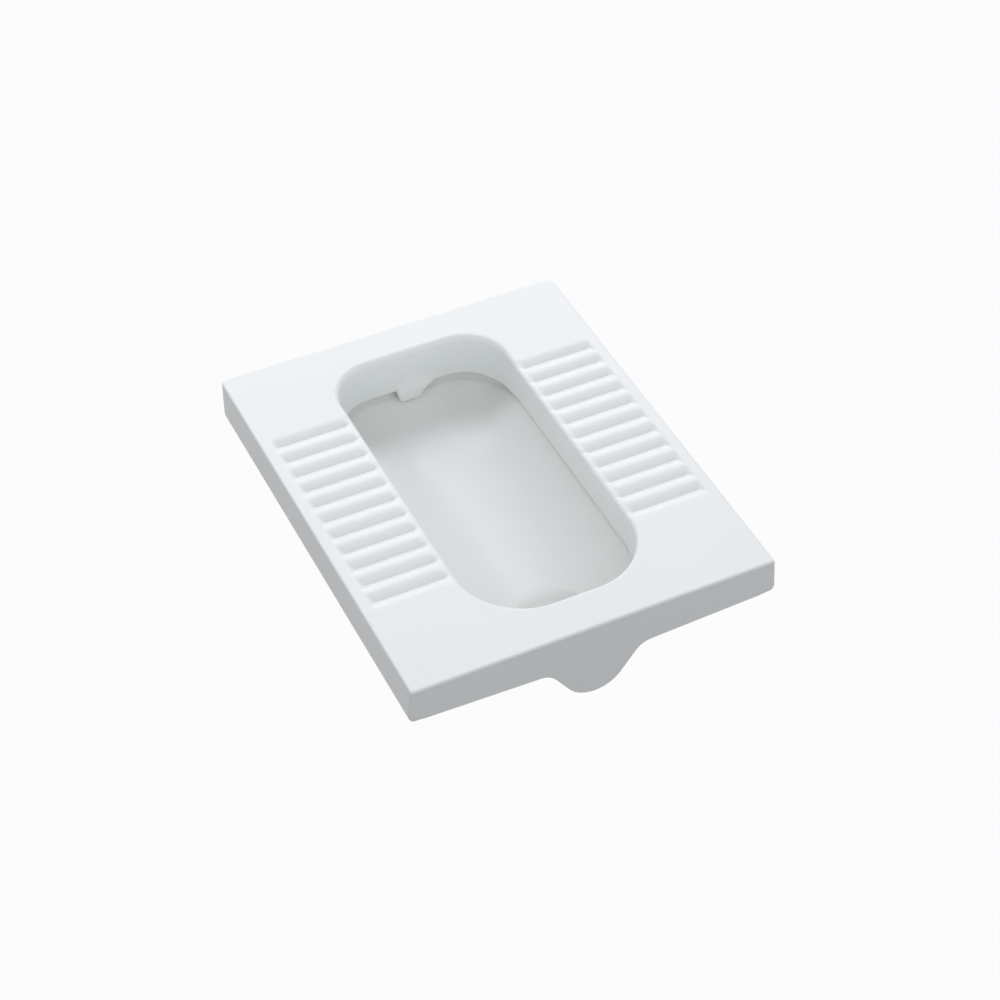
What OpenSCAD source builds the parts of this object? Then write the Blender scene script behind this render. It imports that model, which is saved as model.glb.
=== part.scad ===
// Floor-set squat pan in glazed vitreous china, with ribbed foot treads.
// Millimetres, +Z up. X runs across the pan and -Y is the front, where the lobe is.
// The origin is the middle of the slab, in the plane of the apron's lower rim, on which the pan is bedded.
// Depths are measured down from the deck's top face.

/* [Slab] */
// Width of the slab at its deck
slab_w = 500; // [460:1:620]
// Length of the slab, front to back
slab_l = 620; // [600:1:760]
// Height of the apron, from the bedding plane to the deck's top face
apron_h = 54; // [44:1:70]
// Thickness of the deck
deck_t = 12; // [10:0.5:14]
// Thickness of the apron
apron_t = 12; // [9:0.5:14]
// How far the foot of each side apron stands out past the deck
side_flare = 4; // [0:0.5:6]
// Radius of the slab's upright corners at the front
front_corner_r = 4; // [2:0.5:16]
// Radius of the slab's upright corners at the back
back_corner_r = 12; // [4:1:24]
// Radius of the upright corners inside the apron
inner_corner_r = 4; // [3:1:10]
// Radius along the deck's outer edge
edge_r = 3; // [2:0.5:6]
// Radius along the foot of each side apron
foot_r = 10; // [4:0.5:12]

/* [Opening] */
// Width of the opening
open_w = 242; // [200:1:250]
// Length of the opening
open_l = 504; // [420:1:520]
// How far the opening lies behind the slab's middle
open_shift = 1; // [-4:1:4]
// Corner radius at the front end of the opening
open_front_r = 90; // [70:1:95]
// Corner radius at the back end of the opening
open_back_r = 62; // [50:1:80]

/* [Flushing rim] */
// Thickness of the rim wall round the opening
rim_wall_t = 10; // [8:0.5:12]
// Depth of the rim wall along the sides and the front
rim_side_depth = 47; // [38:1:50]
// How much deeper the rim wall is at the back
rim_back_drop = 15; // [8:1:18]
// Width of the water gully behind the rim wall
gully_w = 21; // [16:1:26]
// Height of the slot between the rim wall and the gully floor
slot_h = 3.5; // [3:0.5:6]

/* [Flush lip] */
// Depth at which the lip leaves the rim wall
lip_top_depth = 28; // [20:1:36]
// How far the lip hangs below the rim wall's lower edge
lip_hang = 15; // [8:1:16]
// How far the lower edge stands out from the rim wall
lip_reach = 9; // [6:0.5:11]
// Width of the lip's lower edge
lip_w = 32; // [24:1:44]
// Width of the lip's root
lip_root_w = 78; // [64:1:96]

/* [Foot treads] */
// Distance from one rib to the next
rib_pitch = 30.9; // [25:0.1:32]
// Number of ribs on each side
rib_count = 10; // [6:1:10]
// Height of the ribs above the grooves
rib_h = 4.5; // [3:0.5:6]
// Width of the plain border outside the treads
tread_border = 14; // [12:1:24]
// Length over which the grooves run out at their outer ends
tread_fade = 25; // [16:1:34]
// How far the treads' middle lies behind the slab's middle
tread_shift = 2; // [-4:1:6]

/* [Bowl] */
// Wall thickness of the bowl
bowl_t = 12; // [10:0.5:13]
// Depth of the bowl's floor at its back end
bowl_depth = 90; // [86:1:96]
// Fall of the floor towards the front, in mm for each mm of length
floor_fall = 0.03; // [0:0.005:0.035]
// Depth of the floor at the outlet's mouth
sump_depth = 104; // [102:1:112]
// Gap between the bowl's end walls and the apron
end_gap = 6; // [4:0.5:10]

/* [Front lobe] */
// Radius of the lobe in the front apron
lobe_r = 44; // [40:1:50]
// Depth of the lobe's lowest point
lobe_depth = 119.5; // [112:0.5:128]
// How far the front apron deepens from its corners to the lobe
apron_dip = 8; // [2:0.5:10]
// Slope of the lobe's flanks, in degrees
lobe_flank = 55; // [50:1:60]
// Radius of the fillets beside the lobe
lobe_fillet_r = 28; // [20:1:32]

/* [Outlet] */
// Outside diameter of the outlet horn
horn_d = 96; // [88:1:100]
// Inside diameter of the outlet horn
horn_bore = 74; // [64:1:78]
// Distance of the outlet's centre in front of the slab's middle
outlet_ahead = 208; // [200:1:222]
// Depth of the horn's lower end
horn_depth = 140; // [136:1:200]

/* [Flush inlet] */
// Inside diameter of the inlet socket
inlet_bore = 38; // [36:0.5:42]
// Wall thickness of the inlet socket
inlet_wall = 6; // [5:0.5:8]
// Depth of the inlet's axis
inlet_depth = 36; // [32:0.5:37]
// How far the socket stands out behind the apron
inlet_reach = 4; // [4:1:20]
// Width of the apron's china round the socket
inlet_rim = 8; // [6:1:14]
// Slope of the flanks of the apron's lobe under the socket, in degrees
inlet_flank = 40; // [32:1:42]
// Radius of the fillets beside that lobe
inlet_fillet_r = 20; // [16:1:24]

/* [Rubber seals] */
// Length of the inlet seal inside its socket
seal_l = 20; // [14:0.5:22]
// Diameter of the flush pipe that the inlet seal holds
flush_pipe_d = 32; // [26:1:34]
// Thickness of the inlet seal's flange
seal_flange_t = 4; // [3:0.5:6]
// How far the flange stands out round the seal's body
seal_flange_w = 5; // [4:0.5:8]
// Outside diameter of the outlet seal
outlet_seal_d = 106; // [103:0.5:116]
// Height of the outlet seal
outlet_seal_h = 18; // [12:1:19]
// Height of the horn's end below the outlet seal
outlet_seal_up = 4; // [2:1:5]
// Clearance between a rubber seal and the china that it sits on
seal_fit = 0.1; // [0:0.05:0.3]

/* [Hidden] */
$fn = 96;
china = [0.95, 0.96, 0.96];
china_shade = [0.85, 0.88, 0.88];
china_joint = [0.78, 0.82, 0.84];
rubber = [0.10, 0.10, 0.11];
eps = 1;
big = 2000;

open_front = open_shift - open_l / 2;
open_back = open_shift + open_l / 2;
apron_in_l = slab_l / 2 - apron_t;
gully_out = rim_wall_t + gully_w;
bowl_out = gully_out + bowl_t;
bowl_end = apron_in_l - end_gap;

// The side aprons lean outwards by this angle, and their feet stay flat over at least foot_flat
foot_flat = 3;
foot_round = min(foot_r, apron_t + side_flare - foot_flat);
lean = atan(side_flare / apron_h);
foot_x = slab_w / 2 + side_flare - foot_round * (1 + sin(lean)) / cos(lean);
edge_x = slab_w / 2 - edge_r * (1 - sin(lean)) / cos(lean);

lobe_z = apron_h - lobe_depth + lobe_r;
lip_depth = rim_side_depth + rim_back_drop + lip_hang;
outlet_y = -outlet_ahead;
inlet_z = apron_h - inlet_depth;
inlet_out_r = inlet_bore / 2 + inlet_wall;

// The ribs' backs lie a little below the deck, and the treads' ends slope by this much for each mm of depth
crest_drop = 0.2;
tread_slope = 2;
rib_rise = rib_h - crest_drop;
rib_r = (pow(rib_pitch / 2, 2) + pow(rib_rise, 2)) / (2 * rib_rise);
tread_half = rib_count * rib_pitch / 2;

// How much smaller in radius the nose behind the lobe is, and how far the lobes and their fillets
// bite into what they join, so that they cross it instead of only touching
nose_in = 5;
fillet_bite = 0.05;

// How much deeper everything hangs towards the back wall, from 0 to rim_back_drop
drop_start = open_back - 120;
drop_end = open_back - 26;
drop_steps = 12;
function smooth(t) = let (c = min(max(t, 0), 1)) c * c * (3 - 2 * c);
function mix(a, b, t) = a + (b - a) * t;
function back_drop(y) = rim_back_drop * smooth((y - drop_start) / (drop_end - drop_start));

// Points along each quarter arc and each straight side of an outline, and in the whole outline
arc_n = 7;
side_n = 8;
ring_n = 4 * (arc_n + 1) + 2 * (side_n - 1) + 2;

// Each row of the bowl's inside, top first, holds: the distance outside the opening's edge, how far
// the row has closed in on the sump from 0 to 1, its depth, and its share of the back wall's drop.
// Rows that close in on the sump have no depth of their own, because they follow the floor.
slot_floor = rim_side_depth + slot_h;
fall = bowl_depth - slot_floor;
mouth_round = 3;
sump_r = horn_bore / 2 + mouth_round;
foot = -60;
foot_depth = slot_floor + 0.77 * fall;
foot_drop = 0.3;
INNER = [
    [gully_out, 0, deck_t - eps, 0],
    [gully_out, 0, slot_floor - 14, 1],
    [gully_out - 2, 0, slot_floor - 8, 1],
    [gully_out - 7, 0, slot_floor - 4, 1.1],
    [rim_wall_t, 0, slot_floor, 1.4],
    [0, 0, slot_floor + 0.06 * fall, 1.8],
    [-12, 0, slot_floor + 0.18 * fall, 1.7],
    [-26, 0, slot_floor + 0.38 * fall, 1.3],
    [-42, 0, slot_floor + 0.60 * fall, 0.8],
    [foot, 0, foot_depth, foot_drop],
    for (s = [0.09, 0.18, 0.29, 0.41, 0.54, 0.67, 0.79, 0.88, 0.95, 1]) [foot, s, 0, 0]
];
// The outside of the bowl, in the same form
OUTER = [
    [bowl_out, 0, deck_t, 0],
    [bowl_out, 0, slot_floor - 5, 1],
    [bowl_out - 3, 0, slot_floor + 4, 1],
    [bowl_out - 13, 0, slot_floor + 0.72 * bowl_t, 1.2],
    [rim_wall_t - 2, 0, slot_floor + 1.12 * bowl_t, 1.4],
    [-8, 0, slot_floor + 0.16 * fall + 1.15 * bowl_t, 1.6],
    [-28, 0, slot_floor + 0.42 * fall + 1.15 * bowl_t, 1.2],
    [-44, 0, slot_floor + 0.64 * fall + 1.1 * bowl_t, 0.7],
    [foot, 0, foot_depth + 1.05 * bowl_t, foot_drop],
    for (s = [0.12, 0.26, 0.42, 0.6, 0.76, 0.89, 1]) [foot, s, 0, 0]
];

// How far the rows step in at the bowl's ends, and how much of their corner radius they give up, for
// each mm that they step in at its sides
front_in = 0.2;
back_in = 0.8;
corner_in = 0.35;
back_stretch = (bowl_end - open_back) / bowl_out;

// How much deeper the floor is at y than at its back end
fall_start = open_back - 103;
function fall_at(y) = floor_fall * (fall_start - min(y, fall_start));

// The floor inside the foot of the bowl's walls, hollowed across, and sinking round the sump
foot_run = 45;
sump_run = 50;
foot_back = open_back + back_in * foot;
foot_front = bowl_t - bowl_end - front_in * foot;
function floor_depth(x, y, r) =
    let (near = 1 - smooth((norm([x, y - outlet_y]) - r) / sump_run))
    let (at_back = smooth(1 - (foot_back - y) / foot_run))
    let (at_front = smooth(1 - (y - foot_front) / foot_run))
    let (across = x / (open_w / 2 + foot))
    let (rise = bowl_depth - foot_depth - foot_drop * rim_back_drop * at_back)
    let (dish = rise * min(across * across + at_back * at_back + at_front * at_front, 1))
    mix(bowl_depth + fall_at(y) - dish, sump_depth, near);

// The outline at distance g outside the opening's edge, closing in on the sump with s. Radius r is
// the sump's, and front is the y of the front wall.
function arc(cx, cy, r, from) = [
    for (i = [0:arc_n]) let (a = from + 90 * i / arc_n) [cx + r * cos(a), cy + r * sin(a)]
];
function side(x, from, to) = [for (i = [1:side_n - 1]) [x, from + (to - from) * i / side_n]];
function outline(g, s, r, front) =
    let (hw = mix(open_w / 2 + g, r, s))
    let (yf = mix(front - front_in * min(g, 0), outlet_y - r, s))
    let (yb = mix(open_back + g * (g > 0 ? back_stretch : back_in), outlet_y + r, s))
    let (rf = min(mix(open_front_r + g, r, s), hw - eps))
    let (rb = min(mix(open_back_r + g * (g > 0 ? 1 : corner_in), r, min(3 * s, 1)), hw - eps))
    concat(
        arc(hw - rf, yf + rf, rf, -90),
        side(hw, yf + rf, yb - rb),
        arc(hw - rb, yb - rb, rb, 0),
        [[0, yb]],
        arc(rb - hw, yb - rb, rb, 90),
        side(-hw, yb - rb, yf + rf),
        arc(rf - hw, yf + rf, rf, 180),
        [[0, yf]]
    );

// A row's points in space, t being the wall's thickness under the floor. Rows on the walls keep to
// their own depth, and rows inside the foot of the walls follow the floor to the sump.
function ring(row, r, front, t) =
    [for (p = outline(row[0], row[1], r, front))
        let (wall = row[2] + row[3] * back_drop(p[1]) + smooth(row[0] / foot) * fall_at(p[1]))
        let (floor = row[1] < 1 ? floor_depth(p[0], p[1], r) : sump_depth)
        [p[0], p[1], apron_h - (row[1] > 0 ? floor + t : wall)]];

// A closed solid through a stack of rings, top ring first
module ring_solid(rows, r, front, t) {
    count = len(rows);
    points = [for (row = rows) each ring(row, r, front, t)];
    walls = [
        for (k = [0:count - 2], i = [0:ring_n - 1])
            let (j = (i + 1) % ring_n)
            let (a = k * ring_n + i)
            let (b = k * ring_n + j)
            each [[a, b, b + ring_n], [a, b + ring_n, a + ring_n]]
    ];
    top = [for (i = [0:ring_n - 3]) [ring_n - 1, i + 1, i]];
    last = (count - 1) * ring_n;
    bottom = [for (i = [0:ring_n - 3]) [last + ring_n - 1, last + i, last + i + 1]];
    polyhedron(points = points, faces = concat(walls, top, bottom));
}

module round_rect(w, l, r) {
    square([w - 2 * r, l], center = true);
    square([w, l - 2 * r], center = true);
    for (sx = [-1, 1], sy = [-1, 1]) {
        translate([sx * (w / 2 - r), sy * (l / 2 - r)]) circle(r);
    }
}

// The opening's outline, grown by g
module opening(g) {
    hw = open_w / 2 + g;
    rf = open_front_r + g;
    rb = open_back_r + g;
    translate([-hw, open_front + open_front_r]) square([2 * hw, open_l - open_front_r - open_back_r]);
    translate([rf - hw, open_front - g]) square([2 * (hw - rf), open_l / 2]);
    translate([rb - hw, open_shift]) square([2 * (hw - rb), open_l / 2 + g]);
    for (side = [-1, 1]) {
        translate([side * (hw - rf), open_front + open_front_r]) circle(rf);
        translate([side * (hw - rb), open_back - open_back_r]) circle(rb);
    }
}

// Outline in X and Z, extruded along Y, and outline in Y and Z, extruded along X
module along_y(from, length) {
    translate([0, from + length, 0]) rotate([90, 0, 0]) linear_extrude(length) children();
}
module along_x(from, length) {
    translate([from, 0, 0]) rotate([90, 0, 90]) linear_extrude(length) children();
}

// The slab's plan, whose front corners are firmer than its back ones
module slab_plan() {
    half_w = slab_w / 2 + side_flare;
    half_l = slab_l / 2;
    straight = slab_l - front_corner_r - back_corner_r;
    translate([-half_w, front_corner_r - half_l]) square([2 * half_w, straight]);
    translate([front_corner_r - half_w, -half_l]) square([2 * (half_w - front_corner_r), half_l]);
    translate([back_corner_r - half_w, 0]) square([2 * (half_w - back_corner_r), half_l]);
    for (side = [-1, 1]) {
        translate([side * (half_w - front_corner_r), front_corner_r - half_l]) circle(front_corner_r);
        translate([side * (half_w - back_corner_r), half_l - back_corner_r]) circle(back_corner_r);
    }
}

// The slab's section across the pan: its sides lean, and its edges and feet are round
module slab_section() {
    turn = [cos(lean), sin(lean)];
    right = [
        [foot_x, 0], [foot_x, foot_round], [foot_x, foot_round] + foot_round * turn,
        [edge_x, apron_h - edge_r] + edge_r * turn, [edge_x, apron_h - edge_r], [edge_x, apron_h]
    ];
    polygon(concat(right, [for (i = [len(right) - 1:-1:0]) [-right[i][0], right[i][1]]]));
    for (side = [-1, 1]) {
        translate([side * foot_x, foot_round]) circle(foot_round);
        translate([side * edge_x, apron_h - edge_r]) circle(edge_r);
    }
}

module slab_block() {
    intersection() {
        linear_extrude(apron_h) slab_plan();
        along_y(-slab_l / 2, slab_l) slab_section();
        along_x(-slab_w, 2 * slab_w) translate([0, apron_h / 2 - edge_r]) {
            round_rect(slab_l, apron_h + 2 * edge_r, edge_r);
        }
    }
}

module slab_hollow() {
    translate([0, 0, -eps]) linear_extrude(apron_h - deck_t + eps) {
        round_rect(slab_w - 2 * apron_t, slab_l - 2 * apron_t, inner_corner_r);
    }
}

// The rim wall hangs from the deck round the opening, deeper at the back
module rim_wall() {
    lowest = apron_h - rim_side_depth - rim_back_drop;
    difference() {
        translate([0, 0, lowest]) linear_extrude(apron_h - deck_t / 2 - lowest) opening(rim_wall_t);
        along_x(-slab_w / 2, slab_w) polygon(concat(
            [[-slab_l, lowest - big], [slab_l, lowest - big], [slab_l, lowest]],
            [for (i = [drop_steps:-1:0]) let (y = mix(drop_start, drop_end, i / drop_steps))
                [y, apron_h - rim_side_depth - back_drop(y)]],
            [[-slab_l, apron_h - rim_side_depth]]
        ));
    }
}

// A lobe of radius r hanging below the apron's edge, which dips towards it from the slab's corners.
// Straight flanks lead up from the lobe at an angle, and fillets of radius f join them to the edge.
module lobe(r, mid_z, dip, flank, f) {
    half = foot_x;
    slope = -dip / (half - r);
    tilt = atan(-slope);
    drop = slope * half - f / cos(tilt) - mid_z;
    fx = -(r + f + drop * cos(flank)) / (sin(flank) + slope * cos(flank));
    fz = slope * (fx + half) - f / cos(tilt);
    edge = [fx + f * sin(tilt), fz + f * cos(tilt)];
    top = [fx + f * sin(flank), fz + f * cos(flank)];
    low_r = r - fillet_bite;
    low = [-low_r * sin(flank), mid_z - low_r * cos(flank)];
    difference() {
        union() {
            polygon([
                [-half, apron_h / 2], [-half, 0], edge, top, low, [0, mid_z],
                [-low[0], low[1]], [-top[0], top[1]], [-edge[0], edge[1]],
                [half, 0], [half, apron_h / 2]
            ]);
            translate([0, mid_z]) circle(r);
        }
        for (side = [-1, 1]) {
            translate([side * fx, fz]) circle(f + fillet_bite);
        }
    }
}

// One tread: a bed that runs out at its outer end, filled by round-backed ribs. The bed is a little
// deeper than the grooves, which lie where the ribs meet.
module tread_bed() {
    bed_h = rib_h + eps;
    inner_x = open_w / 2 - rim_wall_t;
    outer_x = slab_w / 2 - tread_border;
    end_y = tread_half + tread_slope * rib_h;
    intersection() {
        along_x(0, slab_w / 2) polygon([
            [-end_y - tread_slope * eps, apron_h + eps], [tread_slope * bed_h - end_y, apron_h - bed_h],
            [end_y - tread_slope * bed_h, apron_h - bed_h], [end_y + tread_slope * eps, apron_h + eps]
        ]);
        along_y(-slab_l / 2, slab_l) polygon([
            [inner_x, apron_h + eps], [inner_x, apron_h - bed_h],
            [outer_x - tread_fade, apron_h - bed_h], [outer_x, apron_h], [outer_x, apron_h + eps]
        ]);
    }
}

module tread_cut() {
    translate([0, tread_shift, 0]) difference() {
        tread_bed();
        for (i = [0:rib_count - 1]) {
            translate([0, (i + 0.5) * rib_pitch - tread_half, apron_h - crest_drop - rib_r]) {
                rotate([0, 90, 0]) cylinder(r = rib_r, h = slab_w / 2);
            }
        }
    }
}

module inlet_hole(r, from) {
    translate([0, from, inlet_z]) rotate([-90, 0, 0]) cylinder(r = r, h = slab_l / 2 + eps - from);
}

module deck_slab() {
    color(china) difference() {
        union() {
            difference() {
                slab_block();
                slab_hollow();
            }
            rim_wall();
            along_y(-slab_l / 2, apron_t) lobe(lobe_r, lobe_z, apron_dip, lobe_flank, lobe_fillet_r);
            along_y(apron_in_l, apron_t) {
                lobe(inlet_out_r + inlet_rim, inlet_z, 0, inlet_flank, inlet_fillet_r);
            }
        }
        translate([0, 0, -apron_h]) linear_extrude(3 * apron_h) opening(0);
        tread_cut();
        mirror([1, 0, 0]) tread_cut();
        inlet_hole(inlet_out_r, bowl_end);
    }
}

// The lip grows out of the rim wall's flat back and ends in a narrower lower edge
module flush_lip() {
    foot_z = apron_h - lip_depth;
    rim_z = apron_h - rim_side_depth - rim_back_drop;
    top_z = apron_h - lip_top_depth;
    half = lip_root_w / 2;
    foot = lip_w / 2;
    color(china_shade) intersection() {
        along_x(-half, lip_root_w) polygon([
            [open_back, top_z], [open_back - lip_reach + 1, foot_z + 5], [open_back - lip_reach, foot_z + 2],
            [open_back - lip_reach + 2, foot_z], [open_back, foot_z + 1.5]
        ]);
        along_y(open_back - 2 * lip_reach, 3 * lip_reach) polygon([
            [2 - foot, foot_z], [foot - 2, foot_z], [foot, foot_z + 2],
            [foot + 4, rim_z - 6], [half - 6, rim_z - 1], [half, rim_z + 2],
            [half, top_z], [-half, top_z],
            [-half, rim_z + 2], [6 - half, rim_z - 1], [-foot - 4, rim_z - 6], [-foot, foot_z + 2]
        ]);
    }
}

// The nose joins the front of the sump to the back of the lobe
module nose() {
    translate([0, -apron_in_l, lobe_z]) rotate([-90, 0, 0]) {
        cylinder(r = lobe_r - nose_in, h = apron_in_l - outlet_ahead - sump_r - bowl_t / 2);
    }
}

// The bowl closes in on the sump behind the lobe, and the horn leads down from there
module bowl() {
    color(china_shade) difference() {
        union() {
            ring_solid(OUTER, sump_r + bowl_t, -bowl_end, 1.05 * bowl_t);
            translate([0, outlet_y, apron_h - horn_depth]) cylinder(d = horn_d, h = horn_depth - sump_depth);
            nose();
        }
        ring_solid(INNER, sump_r, bowl_t - bowl_end, 0);
        translate([0, outlet_y, apron_h - horn_depth - eps]) {
            cylinder(d = horn_bore, h = horn_depth - sump_depth + 2 * eps);
        }
        inlet_hole(inlet_bore / 2, bowl_end - bowl_t - eps);
    }
}

// The socket passes through the back apron and ends against the bowl's back wall
module inlet_socket() {
    length = slab_l / 2 + inlet_reach - bowl_end;
    color(china_joint) translate([0, bowl_end, inlet_z]) rotate([-90, 0, 0]) difference() {
        cylinder(r = inlet_out_r, h = length);
        translate([0, 0, -eps]) cylinder(d = inlet_bore, h = length + 2 * eps);
    }
}

// A rubber sleeve with an outer flange, which grips the flush pipe
module inlet_seal() {
    end_y = slab_l / 2 + inlet_reach;
    color(rubber) translate([0, end_y, inlet_z]) rotate([-90, 0, 0]) difference() {
        union() {
            translate([0, 0, -seal_l]) cylinder(r = inlet_bore / 2 - seal_fit, h = seal_l + eps);
            cylinder(r = inlet_bore / 2 + seal_flange_w, h = seal_flange_t);
        }
        translate([0, 0, -seal_l - eps]) cylinder(d = flush_pipe_d, h = seal_l + seal_flange_t + 2 * eps);
    }
}

// A rubber ring on the horn, with a round lip above its plain barrel
module outlet_seal() {
    ring_z = apron_h - horn_depth + outlet_seal_up;
    in_r = horn_d / 2 + seal_fit;
    out_r = outlet_seal_d / 2;
    lip_r = 3;
    color(rubber) translate([0, outlet_y, ring_z]) rotate_extrude() {
        translate([in_r, 0]) square([out_r - in_r, outlet_seal_h]);
        translate([out_r, outlet_seal_h - lip_r]) circle(lip_r);
    }
}

deck_slab();
flush_lip();
bowl();
inlet_socket();
inlet_seal();
outlet_seal();
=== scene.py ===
"""A floor-set squat pan in glazed vitreous china, with its rubber seals.

Lengths are in millimetres and become metres when a mesh is made. X runs across the pan, -Y is the
front with the lobe, and z = 0 is the plane on which the apron is bedded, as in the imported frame.
"""

import math

import bpy
import numpy as np
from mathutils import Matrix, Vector


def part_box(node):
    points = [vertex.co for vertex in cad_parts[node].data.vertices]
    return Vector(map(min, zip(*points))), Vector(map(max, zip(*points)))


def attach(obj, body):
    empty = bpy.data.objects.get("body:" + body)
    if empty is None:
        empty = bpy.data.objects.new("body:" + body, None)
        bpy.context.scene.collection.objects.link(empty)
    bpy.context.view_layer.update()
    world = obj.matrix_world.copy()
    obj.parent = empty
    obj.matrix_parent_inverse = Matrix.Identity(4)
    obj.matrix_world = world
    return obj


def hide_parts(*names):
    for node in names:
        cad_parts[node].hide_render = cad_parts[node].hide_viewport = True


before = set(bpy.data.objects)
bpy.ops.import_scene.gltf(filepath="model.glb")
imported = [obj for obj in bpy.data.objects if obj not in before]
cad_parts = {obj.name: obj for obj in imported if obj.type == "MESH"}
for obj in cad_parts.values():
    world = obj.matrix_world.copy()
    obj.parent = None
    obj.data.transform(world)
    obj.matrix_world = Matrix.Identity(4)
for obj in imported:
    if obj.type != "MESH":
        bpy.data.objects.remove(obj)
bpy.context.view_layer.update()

METRE = 0.001
Z = np.array((0.0, 0.0, 1.0))
QUARTER = math.pi / 2


def node_box(node):
    """Lowest and highest corner of a CAD node, in millimetres."""
    low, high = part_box(node)
    return np.array(low) / METRE, np.array(high) / METRE


# ---------------------------------------------------------------- sizes taken from the frame
DECK_LOW, DECK_HIGH = node_box("deck_slab")
LIP_LOW = node_box("flush_lip")[0]
BOWL_LOW = node_box("bowl")[0]
SOCKET_LOW, SOCKET_HIGH = node_box("inlet_socket")
PIPE_SEAL_LOW, PIPE_SEAL_HIGH = node_box("inlet_seal")
SOIL_SEAL_LOW, SOIL_SEAL_HIGH = node_box("outlet_seal")

FOOT_HALF_W = DECK_HIGH[0]
HALF_L = DECK_HIGH[1]
TOP = DECK_HIGH[2]
LOBE_BOTTOM = DECK_LOW[2]
NOSE_END = BOWL_LOW[1]
HORN_END = BOWL_LOW[2]
INLET_Z = (SOCKET_LOW[2] + SOCKET_HIGH[2]) / 2

# ---------------------------------------------------------------- driving sizes of the china
HALF_W = 250.0
DECK_T = 12.0
APRON_T = 12.0
# The slab's upright corners are firm in front and softer behind, and most of all at the foot
FRONT_CORNER_R = 3.5
BACK_CORNER_R = 10.0
BACK_FOOT_CORNER_R = 20.0
INNER_CORNER_R = 6.0
TOP_EDGE_R = 3.0
FOOT_SIDE_R = 10.0
FOOT_END_R = 2.0
FOOT_INNER_R = 3.0
INNER_FILLET_R = 4.0

OPEN_HALF_W = 121.0
OPEN_FRONT = -251.0
OPEN_BACK = 253.0
OPEN_FRONT_R = 90.0
OPEN_BACK_R = 62.0
# The rolled edge of the opening is soft at the back, firmer along the sides and crisp in front
ROLL_BACK = 8.0
ROLL_SIDE = 5.0
ROLL_FRONT = 4.0
# It changes over these stretches of y, each given as a start and a run
ROLL_TO_BACK = (150.0, 90.0)
ROLL_TO_FRONT = (-170.0, -60.0)

RIM_WALL_T = 10.0
# The rim wall's face leans in by this much down to its lower edge
RIM_LEAN = 3.0
RIM_DEPTH = 47.0
RIM_EDGE_R = 2.0
# The rim hangs lower towards the back wall, by this much over this stretch of y
BACK_DROP = 15.0
DROP_TO_BACK = (133.0, 94.0)
GULLY_W = 21.0
SLOT_H = 0.8

# Each end apron has a lobe: its radius, the slope of its flanks and the radius of its fillets
LOBE_R = 44.0
LOBE_FLANK = math.radians(55.0)
LOBE_FILLET_R = 28.0
APRON_DIP = 8.0
BACK_LOBE_R = 33.0
BACK_LOBE_FLANK = math.radians(40.0)
BACK_LOBE_FILLET_R = 20.0

RIB_PITCH = 30.9
RIB_COUNT = 10
RIB_H = 4.5
# Where the treads end, the grooves meet a bed that starts this many grooves deep and rises to the
# deck, and the two are blended over this much
GROOVE_BED = 1.3
GROOVE_BLEND = 0.8
TREAD_MIDDLE = 2.0
TREAD_OUTER = HALF_W - 14.0
TREAD_FADE = 14.0
# Between the treads and the opening runs a strip that lies a little lower than the ribs
STRIP_W = 7.0
STRIP_FADE = 6.0
STRIP_DROP = 1.2
STRIP_WAVE = 0.2

BOWL_T = 12.0
BOWL_DEPTH = 90.0
FLOOR_FALL = 0.03
SUMP_DEPTH = 104.0
END_GAP = 6.0
OUTLET_Y = -208.0
BORE_R = 37.0
HORN_R = 48.0
NOSE_R = LOBE_R - 5.0
INLET_BORE_R = 19.0


# ---------------------------------------------------------------- curves and meshes
def smooth(t):
    """Eases from 0 to 1."""
    held = np.clip(t, 0.0, 1.0)
    return held * held * (3.0 - 2.0 * held)


def eased_over(stretch, y):
    """Eases from 0 to 1 over a stretch of y that is given as its start and its run."""
    start, run = stretch
    return smooth((y - start) / run)


def mix(a, b, t):
    """The value that lies the share t of the way from a to b."""
    return a + (b - a) * t


def column(values):
    """One value for each point of a ring, shaped to scale that ring's vectors."""
    return np.asarray(values, float)[:, None]


def flat_points(*coordinates):
    """Points at z = 0 from their x and y."""
    return np.column_stack([*coordinates, np.zeros(len(coordinates[0]))])


def skin(name, rows, closed=True):
    """A closed surface through rows of points that each run round the piece. The last row joins
    the first one, or the two end rows are filled. Its faces are turned outwards by the sign of its
    volume."""
    grid = np.array(rows, float) * METRE
    count, around = grid.shape[:2]
    points = grid.reshape(-1, 3)
    faces = []
    for k in range(count if closed else count - 1):
        here = k * around
        there = (k + 1) % count * around
        for i in range(around):
            j = (i + 1) % around
            faces.append((here + i, here + j, there + j, there + i))
    if not closed:
        faces.append(tuple(range(around))[::-1])
        faces.append(tuple(range((count - 1) * around, count * around)))
    volume = sum(
        np.dot(points[f[0]], np.cross(points[f[k]], points[f[k + 1]]))
        for f in faces for k in range(1, len(f) - 1)
    )
    if volume < 0:
        faces = [f[::-1] for f in faces]
    mesh = bpy.data.meshes.new(name)
    mesh.from_pydata(points.tolist(), [], faces)
    mesh.validate()
    mesh.shade_smooth()
    piece = bpy.data.objects.new(name, mesh)
    bpy.context.scene.collection.objects.link(piece)
    return piece


def arc(centre, radius, start, end, steps):
    """Points on an arc, with its angles in degrees."""
    turns = np.radians(np.linspace(start, end, steps + 1))
    return [(centre[0] + radius * math.cos(a), centre[1] + radius * math.sin(a)) for a in turns]


def lathe(name, outline, centre, axis, around=128):
    """A closed outline of (radius, height along the axis) turned about the Y or the Z axis."""
    turns = np.linspace(0.0, 2.0 * math.pi, around, endpoint=False)
    rows = []
    for radius, height in outline:
        across = radius * np.cos(turns)
        along = np.full(around, float(height))
        other = radius * np.sin(turns)
        order = (across, along, other) if axis == "Y" else (across, other, along)
        rows.append(np.stack(order, axis=1) + np.array(centre))
    return skin(name, rows)


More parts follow.
